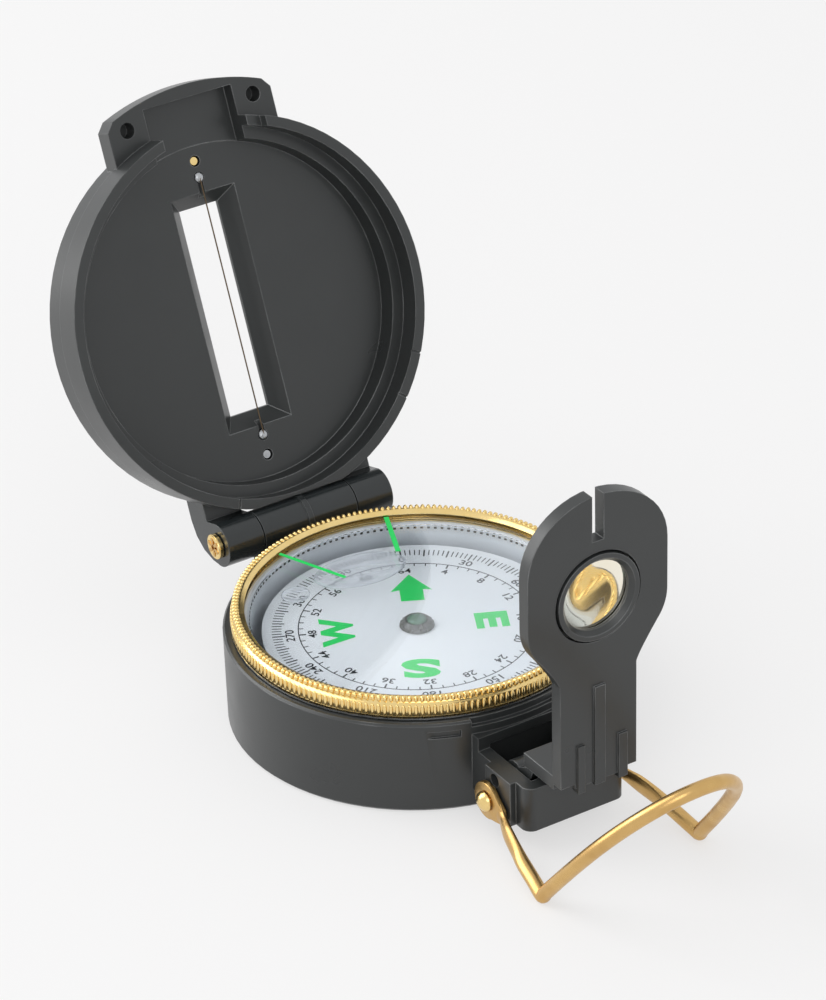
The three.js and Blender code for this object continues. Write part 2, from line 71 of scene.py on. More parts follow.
FLOOR_DROP = 0.04  # the floor lies this far under the case, so that the two faces do not meet
FLOOR_GLOW = 0.68  # share of the floor's own light, as the camera sees it
SEEN_SKY = 0.9  # strength of the surroundings in reflections and through glass
LAMP_AIM = (0, 0, 0.02)  # metres
CAMERA_TURNS = (-32.26, 30.53, -1.48)  # azimuth, tilt and roll, in degrees
CAMERA_AIM = (0, 0, 9)
CAMERA_SHIFT = (-0.70, 22.53)  # along the picture's side and top
CAMERA_AWAY = 700
CAMERA_LENS = 171.26
SENSOR = 36
RING_SEED = 7


# ---- materials ----
def paint(code):
    """An sRGB hex colour as linear RGBA."""
    parts = [int(code[i:i + 2], 16) / 255 for i in (1, 3, 5)]
    return (*(c / 12.92 if c <= 0.04045 else ((c + 0.055) / 1.055) ** 2.4 for c in parts), 1.0)


def add(tree, kind, props=None, inputs=None):
    """Adds a node with its settings, and its inputs as values or links."""
    made = tree.nodes.new(kind)
    for name, value in (props or {}).items():
        setattr(made, name, value)
    for key, value in (inputs or {}).items():
        if isinstance(value, bpy.types.NodeSocket):
            tree.links.new(value, made.inputs[key])
        else:
            made.inputs[key].default_value = value
    return made


def finish(name, colours, patch, rough, grain, bump, sockets=None, edge_wear_and_glint=None):
    """A surface whose colour and roughness drift over patches and whose grain is a bump.

    colours and rough are the two ends of the drift, patch and grain are sizes in mm, bump is a strength,
    sockets are further shader inputs, and the last argument gives the paler edge's colour, radius in mm and
    strength; that paler edge is partly rubbed wear and partly a painted highlight.
    """
    mat = bpy.data.materials.new(name)
    mat.use_nodes = True
    tree = mat.node_tree
    tree.nodes.clear()
    where = add(tree, "ShaderNodeTexCoord").outputs["Object"]
    drift = add(tree, "ShaderNodeTexNoise", None, {"Vector": where, "Scale": 1 / (patch * MM), "Detail": 3.0})
    fine = add(tree, "ShaderNodeTexNoise", None, {"Vector": where, "Scale": 1 / (grain * MM), "Detail": 2.0})
    shade = add(tree, "ShaderNodeMix", {"data_type": "RGBA"},
                {0: drift.outputs["Fac"], 6: paint(colours[0]), 7: paint(colours[1])})
    colour = shade.outputs[2]
    gloss = add(tree, "ShaderNodeMapRange", None,
                {0: drift.outputs["Fac"], 1: 0.3, 2: 0.7, 3: rough[0], 4: rough[1]})
    if edge_wear_and_glint:
        # A rounded corner's normal leaves the face's own only along edges, which are painted paler: partly
        # rubbed wear where handling rubs the skin, partly a painted highlight along the edges.
        rounded = add(tree, "ShaderNodeBevel", {"samples": 4}, {"Radius": edge_wear_and_glint[1] * MM})
        flat = add(tree, "ShaderNodeNewGeometry")
        same = add(tree, "ShaderNodeVectorMath", {"operation": "DOT_PRODUCT"},
                   {0: rounded.outputs[0], 1: flat.outputs["Normal"]})
        edge = add(tree, "ShaderNodeMapRange", None,
                   {0: same.outputs["Value"], 1: 0.995, 2: 0.86, 3: 0.0, 4: edge_wear_and_glint[2]})
        patchy_share = add(tree, "ShaderNodeMapRange", None,
                      {0: drift.outputs["Fac"], 1: 0.42, 2: 0.62, 3: 0.2, 4: 1.0})
        wear_and_glint_mask = add(tree, "ShaderNodeMath", {"operation": "MULTIPLY"},
                     {0: edge.outputs[0], 1: patchy_share.outputs[0]})
        # Painted highlight: the edges are lightened towards the given colour, partly as rubbed wear.
        paler_edge_colour = add(tree, "ShaderNodeMix", {"data_type": "RGBA"},
                     {0: wear_and_glint_mask.outputs[0], 6: colour, 7: paint(edge_wear_and_glint[0])})
        colour = paler_edge_colour.outputs[2]
    relief = add(tree, "ShaderNodeBump", None,
                 {"Strength": bump, "Distance": 0.02 * MM, "Height": fine.outputs["Fac"]})
    if edge_wear_and_glint:
        tree.links.new(rounded.outputs[0], relief.inputs["Normal"])
    bsdf = add(tree, "ShaderNodeBsdfPrincipled", None,
               {"Base Color": colour, "Roughness": gloss.outputs[0], "Normal": relief.outputs[0],
                **(sockets or {})})
    add(tree, "ShaderNodeOutputMaterial", None, {"Surface": bsdf.outputs[0]})
    return mat


def seen_directly(tree):
    """1 for the camera's rays, reflections and views through glass; 0 for the light that falls on things."""
    path = add(tree, "ShaderNodeLightPath").outputs
    seen = add(tree, "ShaderNodeMath", {"operation": "MAXIMUM"},
               {0: path["Is Camera Ray"], 1: path["Is Transmission Ray"]})
    either = add(tree, "ShaderNodeMath", {"operation": "MAXIMUM"},
                 {0: seen.outputs[0], 1: path["Is Glossy Ray"]})
    return either.outputs[0]


def air_skin():
    """Clear face on, with a rim where the skin turns away: the rim is a painted reflection, pale on its near
    side, and painted shade darkens its far side.
    """
    mat = finish("air_pocket", ("#f4f6f8", "#e6e9ec"), 1.6, (0.05, 0.08), 0.8, 0.0)
    tree = mat.node_tree
    out = next(n for n in tree.nodes if n.type == "OUTPUT_MATERIAL")
    skin = next(n for n in tree.nodes if n.type == "BSDF_PRINCIPLED")
    # Painted shade: faces turned away from a fixed direction towards the front are darkened to grey.
    turned = add(tree, "ShaderNodeNewGeometry")
    near = add(tree, "ShaderNodeVectorMath", {"operation": "DOT_PRODUCT"},
               {0: turned.outputs["Normal"], 1: (0.35, -0.9, 0.25)})
    lit = add(tree, "ShaderNodeMapRange", None, {0: near.outputs["Value"], 1: -0.7, 2: 0.1})
    painted_far_shade = add(tree, "ShaderNodeMix", {"data_type": "RGBA"},
               {0: lit.outputs[0], 6: paint("#4a4f55"), 7: skin.inputs["Base Color"].links[0].from_socket})
    tree.links.new(painted_far_shade.outputs[2], skin.inputs["Base Color"])
    # Painted reflection: where the skin turns away from the view, the pale skin shows instead of clear.
    rim = add(tree, "ShaderNodeLayerWeight", None, {"Blend": 0.5})
    share = add(tree, "ShaderNodeMapRange", None,
                {0: rim.outputs["Facing"], 1: 0.38, 2: 0.72, 3: 0.03, 4: 0.9})
    through = add(tree, "ShaderNodeBsdfTransparent")
    mixed = add(tree, "ShaderNodeMixShader", None,
                {0: share.outputs[0], 1: through.outputs[0], 2: skin.outputs[0]})
    tree.links.new(mixed.outputs[0], out.inputs["Surface"])
    return mat


def make_finishes():
    """All the object's finishes by name."""
    look = bpy.context.scene.compass_look
    return {
        # ABS, injection moulded and semi-gloss: soft highlights, faint flow marks, edges painted paler,
        # partly as rubbed wear and partly as a painted highlight
        "moulded": finish("moulded_abs", ("#292b2b", "#333535"), 9.0, (0.27, 0.38), 0.35, 0.3,
                          {"IOR": 1.54}, ("#c4c6c6", look.edge_mm, 0.5)),
        # ABS off a polished part of the mould, as on the hinge barrel: tighter highlights, and edges painted
        # paler, partly as rubbed wear and partly as a painted highlight
        "barrel": finish("polished_abs", ("#202425", "#292d2e"), 6.0, (0.16, 0.24), 0.5, 0.12, {"IOR": 1.54},
                         ("#9fa3a3", 0.2, 0.4)),
        # Brass, turned and lacquered: warm yellow metal with fine turning marks
        "brass": finish("lacquered_brass", ("#f6dca0", "#eac87c"), 2.5, (0.13, 0.24), 0.12, 0.2,
                        {"Metallic": 1.0}),
        # Brass wire, tumbled before it was bent: a satin skin with duller patches
        "wire": finish("tumbled_brass_wire", ("#dfba7a", "#c29a5e"), 3.0, (0.26, 0.38), 0.18, 0.6,
                       {"Metallic": 1.0}),
        # Plated steel: grey metal, slightly uneven
        "steel": finish("plated_steel", ("#c4c6c8", "#a0a2a5"), 1.2, (0.2, 0.34), 0.1, 0.3,
                        {"Metallic": 1.0}),
        # Copper alloy thread, drawn: a dull brown glint
        "thread": finish("drawn_bronze_thread", ("#7c6a55", "#564a3c"), 1.5, (0.3, 0.45), 0.1, 0.2,
                         {"Metallic": 1.0}),
        # Polystyrene cup, silvered inside: pale grey and satin
        "silvered": finish("silvered_polystyrene", ("#dfe2e4", "#cdd1d4"), 5.0, (0.3, 0.42), 0.4, 0.15,
                           {"Specular IOR Level": 0.6}),
        # Card, coated and printed: white with almost no gloss
        "card": finish("coated_card", ("#fafaf8", "#f2f3f2"), 12.0, (0.5, 0.6), 0.15, 0.1),
        # Screen ink: near black and matt
        "ink": finish("black_screen_ink", ("#0f1113", "#1b1e21"), 1.0, (0.5, 0.62), 0.1, 0.1),
        # Luminous screen ink: saturated green, thick enough to look even; its faint emission is a painted
        # glow that lifts the green
        "luminous": finish("luminous_ink", ("#1fd05d", "#2bdc6a"), 2.0, (0.4, 0.5), 0.15, 0.3,
                           {"Emission Color": paint("#1fd05d"), "Emission Strength": 0.12}),
        # Acrylic, cast and polished: water clear; an IOR below acrylic's 1.49 weakens its reflections
        "clear": finish("clear_acrylic", ("#fbfdff", "#f8fbff"), 20.0, (0.0, 0.01), 2.0, 0.01,
                        {"Transmission Weight": 1.0, "IOR": 1.33}),
        # A pocket of air in the capsule's liquid: clear, with a painted bright rim on its near side and
        # painted shade on its far one
        "air": air_skin(),
        # Optical acrylic, moulded: a faint straw tint and a few smears; its IOR is lowered for a calmer view
        "lens": finish("optical_acrylic", ("#fdf4de", "#fffbee"), 3.0, (0.02, 0.07), 1.2, 0.04,
                       {"Transmission Weight": 1.0, "IOR": 1.2}),
        # Smoked polystyrene cap over the jewel: grey and glossy
        "jewel": finish("smoked_polystyrene", ("#8d8b83", "#6f6e68"), 0.8, (0.15, 0.3), 0.3, 0.4,
                        {"Transmission Weight": 0.35}),
        # Polystyrene dome over the pivot jewel, tinted by the green ink beneath it
        "dome": finish("tinted_polystyrene", ("#7fa78a", "#5f7c69"), 0.7, (0.05, 0.12), 0.3, 0.2,
                       {"Transmission Weight": 0.3}),
        # Nitrile gasket: black, matt
        "gasket": finish("nitrile_rubber", ("#191b1d", "#202325"), 2.0, (0.6, 0.75), 0.3, 0.4),
    }


# ---- shared makers ----
def smoothed(mesh, angle):
    mesh.shade_smooth()
    mesh.set_sharp_from_angle(angle=math.radians(angle))


def piece(name, mesh, material, body, stands_for=(), angle=35.0):
    """Links a finished mesh, already in metres and in the row frame, and rides it on a body."""
    mesh.materials.clear()
    mesh.materials.append(FINISHES[material])
    smoothed(mesh, angle)
    made = bpy.data.objects.new(name, mesh)
    bpy.context.scene.collection.objects.link(made)
    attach(made, body)
    if stands_for:
        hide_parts(*stands_for)
    return made


def from_bmesh(name, shape):
    bmesh.ops.recalc_face_normals(shape, faces=shape.faces)
    mesh = bpy.data.meshes.new(name)
    shape.to_mesh(mesh)
    shape.free()
    return mesh


def dressed(node, material, body, angle=32.0):
    """A welded copy of a CAD node with flats made whole and its round faces shaded smooth."""
    shape = bmesh.new()
    shape.from_mesh(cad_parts[node].data)
    bmesh.ops.remove_doubles(shape, verts=shape.verts, dist=2e-6)
    bmesh.ops.dissolve_degenerate(shape, edges=shape.edges, dist=1e-6)
    bmesh.ops.dissolve_limit(shape, angle_limit=math.radians(0.4), verts=shape.verts, edges=shape.edges)
    mesh = bpy.data.meshes.new(node)
    shape.to_mesh(mesh)
    shape.free()
    shading = ("custom_normal", "sharp_edge", "sharp_face")
    for stored in [a.name for a in mesh.attributes if a.name in shading]:
        mesh.attributes.remove(mesh.attributes[stored])
    return piece(node + "_finished", mesh, material, body, (node,), angle)


def polish_barrel(made):
    """Gives the faces round the hinge axis the polished finish."""
    made.data.materials.append(FINISHES["barrel"])
    for face in made.data.polygons:
        _, y, z = face.center / MM
        if math.hypot(y - LID_AXIS[1], z - LID_AXIS[2]) < BARREL_REACH:
            face.material_index = 1


def lathe(profile, sides=128, place=None):
    """A closed [radius, height] profile turned round +Z, in mm, then placed and made metres."""
    shape = bmesh.new()
    rings = []
    for radius, height in profile:
        if radius < 1e-6:
            rings.append([shape.verts.new((0, 0, height))] * sides)
        else:
            turns = [2 * math.pi * i / sides for i in range(sides)]
            circle = [(radius * math.cos(t), radius * math.sin(t), height) for t in turns]
            rings.append([shape.verts.new(point) for point in circle])
    for a, b in zip(rings, rings[1:] + rings[:1]):
        for i in range(sides):
            j = (i + 1) % sides
            corners = list(dict.fromkeys((a[i], a[j], b[j], b[i])))
            if len(corners) > 2:
                shape.faces.new(corners)
    shape.transform(Matrix.Scale(MM, 4) @ (place or Matrix()))
    return shape


def on_lid(x, height, along):
    """The place of a lid fitting: x, height over the back plane's datum, and distance from the hinge."""
    lid = Matrix.Translation(LID_AXIS) @ Matrix.Rotation(math.radians(-LID_LEAN), 4, "X")
    return lid @ Matrix.Translation((x, height, along)) @ Matrix.Rotation(math.radians(90), 4, "X")


def ring_tree():
    """Geometry Nodes: one small solid repeated round a circle about +Z."""
    tree = bpy.data.node_groups.new("repeat_round_axis", "GeometryNodeTree")
    face = tree.interface
    sizes = [("Count", "NodeSocketInt", 100), ("Radius", "NodeSocketFloat", 0.02),
             ("Height", "NodeSocketFloat", 0.0),
             ("First angle", "NodeSocketFloat", 0.0), ("Size", "NodeSocketVector", (0.001, 0.001, 0.001)),
             ("Rounded", "NodeSocketBool", False), ("Material", "NodeSocketMaterial", None),
             ("Seed", "NodeSocketInt", RING_SEED)]
    for label, kind, value in sizes:
        socket = face.new_socket(label, in_out="INPUT", socket_type=kind)
        if value is not None:
            socket.default_value = value
    face.new_socket("Geometry", in_out="OUTPUT", socket_type="NodeSocketGeometry")
    given = add(tree, "NodeGroupInput").outputs
    circle = add(tree, "GeometryNodeMeshCircle", None,
                 {"Vertices": given["Count"], "Radius": given["Radius"]})
    step = add(tree, "ShaderNodeMath", {"operation": "DIVIDE"}, {0: 2 * math.pi, 1: given["Count"]})
    index = add(tree, "GeometryNodeInputIndex")
    angle = add(tree, "ShaderNodeMath", {"operation": "MULTIPLY"}, {0: index.outputs[0], 1: step.outputs[0]})
    turn = add(tree, "ShaderNodeCombineXYZ", None, {"Z": angle.outputs[0]})
    # A little spread in each tooth's size, as a rolled knurl has.
    spread = add(tree, "FunctionNodeRandomValue", {"data_type": "FLOAT"},
                 {2: 0.93, 3: 1.0, "ID": index.outputs[0], "Seed": given["Seed"]})
    cube = add(tree, "GeometryNodeMeshCube", None, {"Size": given["Size"]})
    ball = add(tree, "GeometryNodeMeshUVSphere", None, {"Segments": 10, "Rings": 6, "Radius": 0.5})
    oval = add(tree, "GeometryNodeTransform", None, {"Geometry": ball.outputs[0], "Scale": given["Size"]})
    solid = add(tree, "GeometryNodeSwitch", {"input_type": "GEOMETRY"},
                {"Switch": given["Rounded"], "False": cube.outputs[0], "True": oval.outputs[0]})
    copies = add(tree, "GeometryNodeInstanceOnPoints", None,
                 {"Points": circle.outputs[0], "Instance": solid.outputs[0], "Rotation": turn.outputs[0],
                  "Scale": spread.outputs[1]})
    lift = add(tree, "ShaderNodeCombineXYZ", None, {"Z": given["Height"]})
    start = add(tree, "ShaderNodeCombineXYZ", None, {"Z": given["First angle"]})
    moved = add(tree, "GeometryNodeTransform", None,
                {"Geometry": copies.outputs[0], "Translation": lift.outputs[0], "Rotation": start.outputs[0]})
    real = add(tree, "GeometryNodeRealizeInstances", None, {0: moved.outputs[0]})
    coloured = add(tree, "GeometryNodeSetMaterial", None,
                   {"Geometry": real.outputs[0], "Material": given["Material"]})
    add(tree, "NodeGroupOutput", None, {0: coloured.outputs[0]})
    return tree


def repeated(name, material, body, slot, angle=60.0, **sizes):
    """A ring of small solids from the node tree, as one plain mesh. Lengths in mm, angles in degrees."""
    tree = bpy.data.node_groups.get("repeat_round_axis") or ring_tree()
    holder = bpy.data.objects.new(name + "_holder", bpy.data.meshes.new(name + "_holder"))
    bpy.context.scene.collection.objects.link(holder)
    mod = holder.modifiers.new("ring", "NODES")
    mod.node_group = tree
    values = {"Count": sizes["count"], "Radius": sizes["radius"] * MM, "Height": sizes["height"] * MM,
              "First angle": math.radians(sizes.get("first", 0.0)), "Size": [s * MM for s in sizes["size"]],
              "Rounded": sizes.get("rounded", False), "Material": FINISHES[material], "Seed": RING_SEED}
    for item in tree.interface.items_tree:
        if item.in_out == "INPUT":
            mod[item.identifier] = values[item.name]
    bpy.context.view_layer.update()
    mesh = bpy.data.meshes.new_from_object(holder.evaluated_get(bpy.context.evaluated_depsgraph_get()))
    bpy.data.objects.remove(holder)
    return piece(name, mesh, material, body, angle=angle)


def lettering(words, height, azimuth, radius, bold=0.0, wide=1.0):
    """Generic dial lettering as a thin solid on the dial, its top outwards, in mm."""
    text = bpy.data.curves.new("lettering", "FONT")
    text.body = words
    text.size = height / CAPITAL
    text.align_x = "CENTER"
    text.align_y = "CENTER"
    text.offset = bold
    text.extrude = PRINT_THICK / 2
    text.resolution_u = 4
    holder = bpy.data.objects.new("lettering", text)
    bpy.context.scene.collection.objects.link(holder)
    bpy.context.view_layer.update()
    mesh = bpy.data.meshes.new_from_object(holder.evaluated_get(bpy.context.evaluated_depsgraph_get()))
    bpy.data.objects.remove(holder)
    mesh.transform(on_dial(azimuth, radius, 0.0) @ Matrix.Diagonal((wide, 1, 1, 1)))
    return mesh


def on_dial(azimuth, radius, lift):
    """Metres from mm: a place on the dial card at an azimuth clockwise from north."""
    turn = Matrix.Rotation(math.radians(-(azimuth + NORTH)), 4, "Z")
    return Matrix.Scale(MM, 4) @ turn @ Matrix.Translation((0, radius, DIAL_TOP + PRINT_RISE + lift))


def flat_shape(shape, outline, place, thick=PRINT_THICK):
    """Adds a thin plate with this outline to a bmesh."""
    low = [shape.verts.new(place @ Vector((x, y, -thick / 2))) for x, y in outline]
    high = [shape.verts.new(place @ Vector((x, y, thick / 2))) for x, y in outline]
    shape.faces.new(low[::-1])
    shape.faces.new(high)
    for i in range(len(outline)):
        j = (i + 1) % len(outline)
        shape.faces.new((low[i], low[j], high[j], high[i]))


# ---- settings ----
class CompassLook(bpy.types.PropertyGroup):
    """Sizes and colours a user would change."""

    edge_mm: FloatProperty(name="Edge radius", description="Radius of the moulded edges, in millimetres",
                           default=0.22, min=0.05, max=1.0)
    teeth: IntProperty(name="Bezel teeth", description="Number of knurl teeth round the bezel", default=190,
                       min=60, max=320)
    degree_step: IntProperty(name="Degree step", description="Degrees between the dial's fine ticks",
                             default=2, min=1, max=10)
    floor_colour: FloatVectorProperty(name="Floor colour", description="Colour of the floor and backdrop",
                                      subtype="COLOR", size=3, default=(0.905, 0.901, 0.9))
    key_power: FloatProperty(name="Key light", description="Power of the large soft light", default=3.4,
                             unit="POWER")
    fill_level: FloatProperty(name="Fill level", description="Strength of the even surrounding light",
                              default=0.74)


class COMPASS_OT_stage(bpy.types.Operator):
    """Sets the floor, the surrounding light, two soft lamps and the camera."""

    bl_idname = "compass.stage"
    bl_label = "Stage"

    def execute(self, context):
        scene = context.scene
        look = scene.compass_look
        scene.view_settings.view_transform = "Standard"
        shape = bmesh.new()
        bmesh.ops.create_grid(shape, x_segments=1, y_segments=1, size=3.0)
        for vert in shape.verts:
            vert.co.z = -FLOOR_DROP * MM
        floor = bpy.data.objects.new("floor", from_bmesh("floor", shape))
        floor.data.materials.append(self.floor_material(look))
        scene.collection.objects.link(floor)
        self.world(scene, look)
        self.lamp("key_lamp", (-0.55, 0.42, 0.75), 0.7, look.key_power)
        self.lamp("left_lamp", (-0.55, 0.62, 0.24), 0.55, look.key_power * 0.75)
        self.lamp("front_lamp", (-0.35, -0.75, 0.55), 0.5, look.key_power * 0.4)
        self.camera(scene)
        return {"FINISHED"}

    def floor_material(self, look):
        mat = bpy.data.materials.new("matt_paper_floor")
        mat.use_nodes = True
        tree = mat.node_tree
        tree.nodes.clear()
        colour = (*look.floor_colour, 1.0)
        paper = add(tree, "ShaderNodeBsdfPrincipled", None, {"Base Color": colour, "Roughness": 0.6,
                                                            "Specular IOR Level": 0.2})
        glow = add(tree, "ShaderNodeEmission", None, {"Color": colour, "Strength": 1.0})
        part = add(tree, "ShaderNodeMath", {"operation": "MULTIPLY"}, {0: seen_directly(tree), 1: FLOOR_GLOW})
        both = add(tree, "ShaderNodeMixShader", None,
                   {0: part.outputs[0], 1: paper.outputs[0], 2: glow.outputs[0]})
        add(tree, "ShaderNodeOutputMaterial", None, {"Surface": both.outputs[0]})
        return mat

    def world(self, scene, look):
        world = bpy.data.worlds.new("studio")
        scene.world = world
        world.use_nodes = True
        tree = world.node_tree
        tree.nodes.clear()
        level = add(tree, "ShaderNodeMapRange", None,
                    {0: seen_directly(tree), 3: look.fill_level, 4: SEEN_SKY})
        sky = add(tree, "ShaderNodeBackground", None,
                  {"Color": (0.98, 0.99, 1.0, 1.0), "Strength": level.outputs[0]})
        add(tree, "ShaderNodeOutputWorld", None, {"Surface": sky.outputs[0]})

    def lamp(self, name, place, size, power):
        data = bpy.data.lights.new(name, "AREA")
        data.size = size
        data.energy = power
        lamp = bpy.data.objects.new(name, data)
        lamp.location = place
        lamp.rotation_euler = (Vector(LAMP_AIM) - Vector(place)).to_track_quat("-Z", "Y").to_euler()
        bpy.context.scene.collection.objects.link(lamp)

    def camera(self, scene):
        azimuth, tilt, roll = (math.radians(a) for a in CAMERA_TURNS)
        away = Vector((-math.sin(azimuth) * math.cos(tilt), math.cos(azimuth) * math.cos(tilt),
                       -math.sin(tilt)))
        right = Vector((math.cos(azimuth), math.sin(azimuth), 0))
        up = right.cross(away)
        side = math.cos(roll) * right + math.sin(roll) * up
        top = -math.sin(roll) * right + math.cos(roll) * up
        shift = CAMERA_SHIFT[0] * side + CAMERA_SHIFT[1] * top
        place = (Vector(CAMERA_AIM) + shift - CAMERA_AWAY * away) * MM
        data = bpy.data.cameras.new("camera")
        data.sensor_width = SENSOR
        data.lens = CAMERA_LENS
        camera = bpy.data.objects.new("camera", data)
        camera.matrix_world = Matrix(((side.x, top.x, -away.x, place.x), (side.y, top.y, -away.y, place.y),
                                      (side.z, top.z, -away.z, place.z), (0, 0, 0, 1)))
        data.clip_end = 20
        scene.collection.objects.link(camera)
        scene.camera = camera


class COMPASS_OT_case(bpy.types.Operator):
    """Finishes the moulded case, its pins and the wall of the capsule."""

    bl_idname = "compass.case"
    bl_label = "Case and capsule"

    def execute(self, context):
        polish_barrel(dressed("case_body", "moulded", "case"))
        dressed("pivot_post", "steel", "case")
        dressed("bezel_spring", "steel", "case")
        dressed("eyepiece_pin", "steel", "case")
        dressed("hinge_pin", "brass", "case")
        self.rolled_end()
        dressed("loop_rivet_left", "brass", "case", 50)
        dressed("loop_rivet_right", "brass", "case", 50)
        wall = lathe([(0, 2.5), (26.3, 2.5), (26.3, 15.0), (25.9, 16.15), (24.9, 16.15), (24.55, 15.4),
                      (24.2, 14.0), (24.0, 3.7), (0, 3.7)])
        piece("capsule_wall", from_bmesh("capsule_wall", wall), "silvered", "case",
              ("capsule_cup", "capsule_gasket"))
        window = lathe([(0, 15.75), (24.5, 15.75), (24.5, 16.1), (0, 16.1)])
        glass = piece("capsule_window", from_bmesh("capsule_window", window), "clear", "case",
                      ("capsule_cover",))
        glass.visible_shadow = False
        repeated("capsule_dashes", "ink", "case", "gasket", count=150, radius=24.5, height=15.35,
                 size=(0.1, 0.42, 0.3))
        for name, centre, radii, turn in (("air_bubble_large", (-0.3, 15.0), (7.4, 4.3), -6),
                                          ("air_bubble_small", (-11.8, 14.6), (2.2, 2.0), 0)):
            dome = lathe([(0, -0.5), (0.6, -0.44), (0.86, -0.3), (0.97, -0.12), (1.0, 0.05), (0.97, 0.2),
                          (0.9, 0.27), (0, 0.3)], 64)
            shape = Matrix.Translation((centre[0] * MM, centre[1] * MM, 15.35 * MM)) @ Matrix.Rotation(
                math.radians(turn), 4, "Z") @ Matrix.Diagonal((radii[0], radii[1], 1.0, 1.0))
            dome.transform(shape)
            bubble = piece(name, from_bmesh(name, dome), "air", "case", angle=80)
            bubble.visible_shadow = False
        return {"FINISHED"}

    def rolled_end(self):
        """The split end of the hinge pin, its petals rolled outwards."""
        sideways = Matrix.Rotation(math.radians(-90), 4, "Y")
        end = Matrix.Translation((PIN_END_X, LID_AXIS[1], LID_AXIS[2])) @ sideways
        collar = lathe([(0.62, -0.35), (1.7, -0.35), (1.85, -0.1), (1.75, 0.12), (1.35, 0.22), (0.8, 0.1)],
                       40, end)
        piece("pin_rolled_collar", from_bmesh("pin_rolled_collar", collar), "brass", "case",
              angle=50)
        petals = bmesh.new()
        for k in range(6):
            slit = end @ Matrix.Rotation(math.radians(60 * k + 15), 4, "Z")
            outline = [(0.35, -0.16), (1.0, -0.3), (1.45, -0.22), (1.45, 0.22), (1.0, 0.3), (0.35, 0.16)]
            flat_shape(petals, outline, Matrix.Scale(MM, 4) @ slit @ Matrix.Translation((0, 0, 0.12)), 0.34)
        piece("pin_petals", from_bmesh("pin_petals", petals), "wire", "case", angle=30)


class COMPASS_OT_dial(bpy.types.Operator):
    """Prints the dial: degree ticks and numbers, inner scale, cardinal letters and north arrow."""

    bl_idname = "compass.dial"
    bl_label = "Dial"

    def execute(self, context):
        dressed("dial_card", "card", "dial")
        dressed("dial_magnet", "steel", "dial")
        skirt = lathe([(0, DIAL_TOP + 0.1), (2.6, DIAL_TOP + 0.1), (2.5, DIAL_TOP + 0.35),
                       (1.95, DIAL_TOP + 1.0), (1.75, DIAL_TOP + 1.1), (1.5, DIAL_TOP + 0.95),
                       (0.8, DIAL_TOP + 0.9), (0, DIAL_TOP + 0.9)], 48)
        piece("jewel_skirt", from_bmesh("jewel_skirt", skirt), "jewel", "dial", ("jewel_cap",))
        dome = lathe([(0, DIAL_TOP + 0.95), (1.45, DIAL_TOP + 1.0), (1.4, DIAL_TOP + 1.2),
                      (1.0, DIAL_TOP + 1.4), (0.5, DIAL_TOP + 1.49), (0, DIAL_TOP + 1.5)], 32)
        piece("jewel_dome", from_bmesh("jewel_dome", dome), "dome", "dial", angle=60)
        first = 90 - NORTH
        step = context.scene.compass_look.degree_step
        level = DIAL_TOP + PRINT_RISE
        repeated("degree_ticks", "ink", "dial", "gasket", count=360 // step, radius=20.6, height=level,
                 first=first, size=(1.5, 0.17, PRINT_THICK))
        repeated("ten_degree_ticks", "ink", "dial", "gasket", count=36, radius=20.4, height=level + 0.004,
                 first=first, size=(1.9, 0.24, PRINT_THICK))
        repeated("scale_ticks", "ink", "dial", "gasket", count=64, radius=17.05, height=level, first=first,
                 size=(0.75, 0.17, PRINT_THICK))
        repeated("scale_main_ticks", "ink", "dial", "gasket", count=16, radius=16.9, height=level + 0.004,
                 first=first, size=(1.1, 0.25, PRINT_THICK))
        low, high = level - PRINT_THICK / 2, level + PRINT_THICK / 2
        circle = lathe([(17.35, low), (17.5, low), (17.5, high), (17.35, high)], 180)
        piece("scale_circle", from_bmesh("scale_circle", circle), "ink", "dial")
        printed = bmesh.new()
        for degrees in range(0, 360, 30):
            printed.from_mesh(lettering(str(degrees), 1.35, degrees, 18.65, 0.02, 1.15))
        for mark in range(4, 65, 4):
            printed.from_mesh(lettering(str(mark), 1.3, mark * 360 / 64, 15.35, 0.02, 1.15))
        mesh = bpy.data.meshes.new("dial_numbers")
        printed.to_mesh(mesh)
        printed.free()
        piece("dial_numbers", mesh, "ink", "dial")
        green = bmesh.new()
        letters = (("E", 90, 10.8, 1.4), ("S", 184, 11.5, 1.85), ("W", 270, 11.5, 1.05))
        for letter, azimuth, radius, wide in letters:
            green.from_mesh(lettering(letter, 4.6, azimuth, radius, 0.3, wide))
        arrow = [(-1.75, 6.9), (1.75, 6.9), (1.75, 10.0), (3.1, 9.7), (0, 14.3), (-3.1, 9.7), (-1.75, 10.0)]
        flat_shape(green, arrow, on_dial(2, 0, 0))
        mesh = bpy.data.meshes.new("cardinal_letters")
        green.to_mesh(mesh)
        green.free()
        piece("cardinal_letters", mesh, "luminous", "dial")
        repeated("jewel_flutes", "jewel", "dial", "jewel", count=16, radius=2.3, height=DIAL_TOP + 0.38,
                 size=(0.5, 0.62, 0.55), rounded=True)
        return {"FINISHED"}


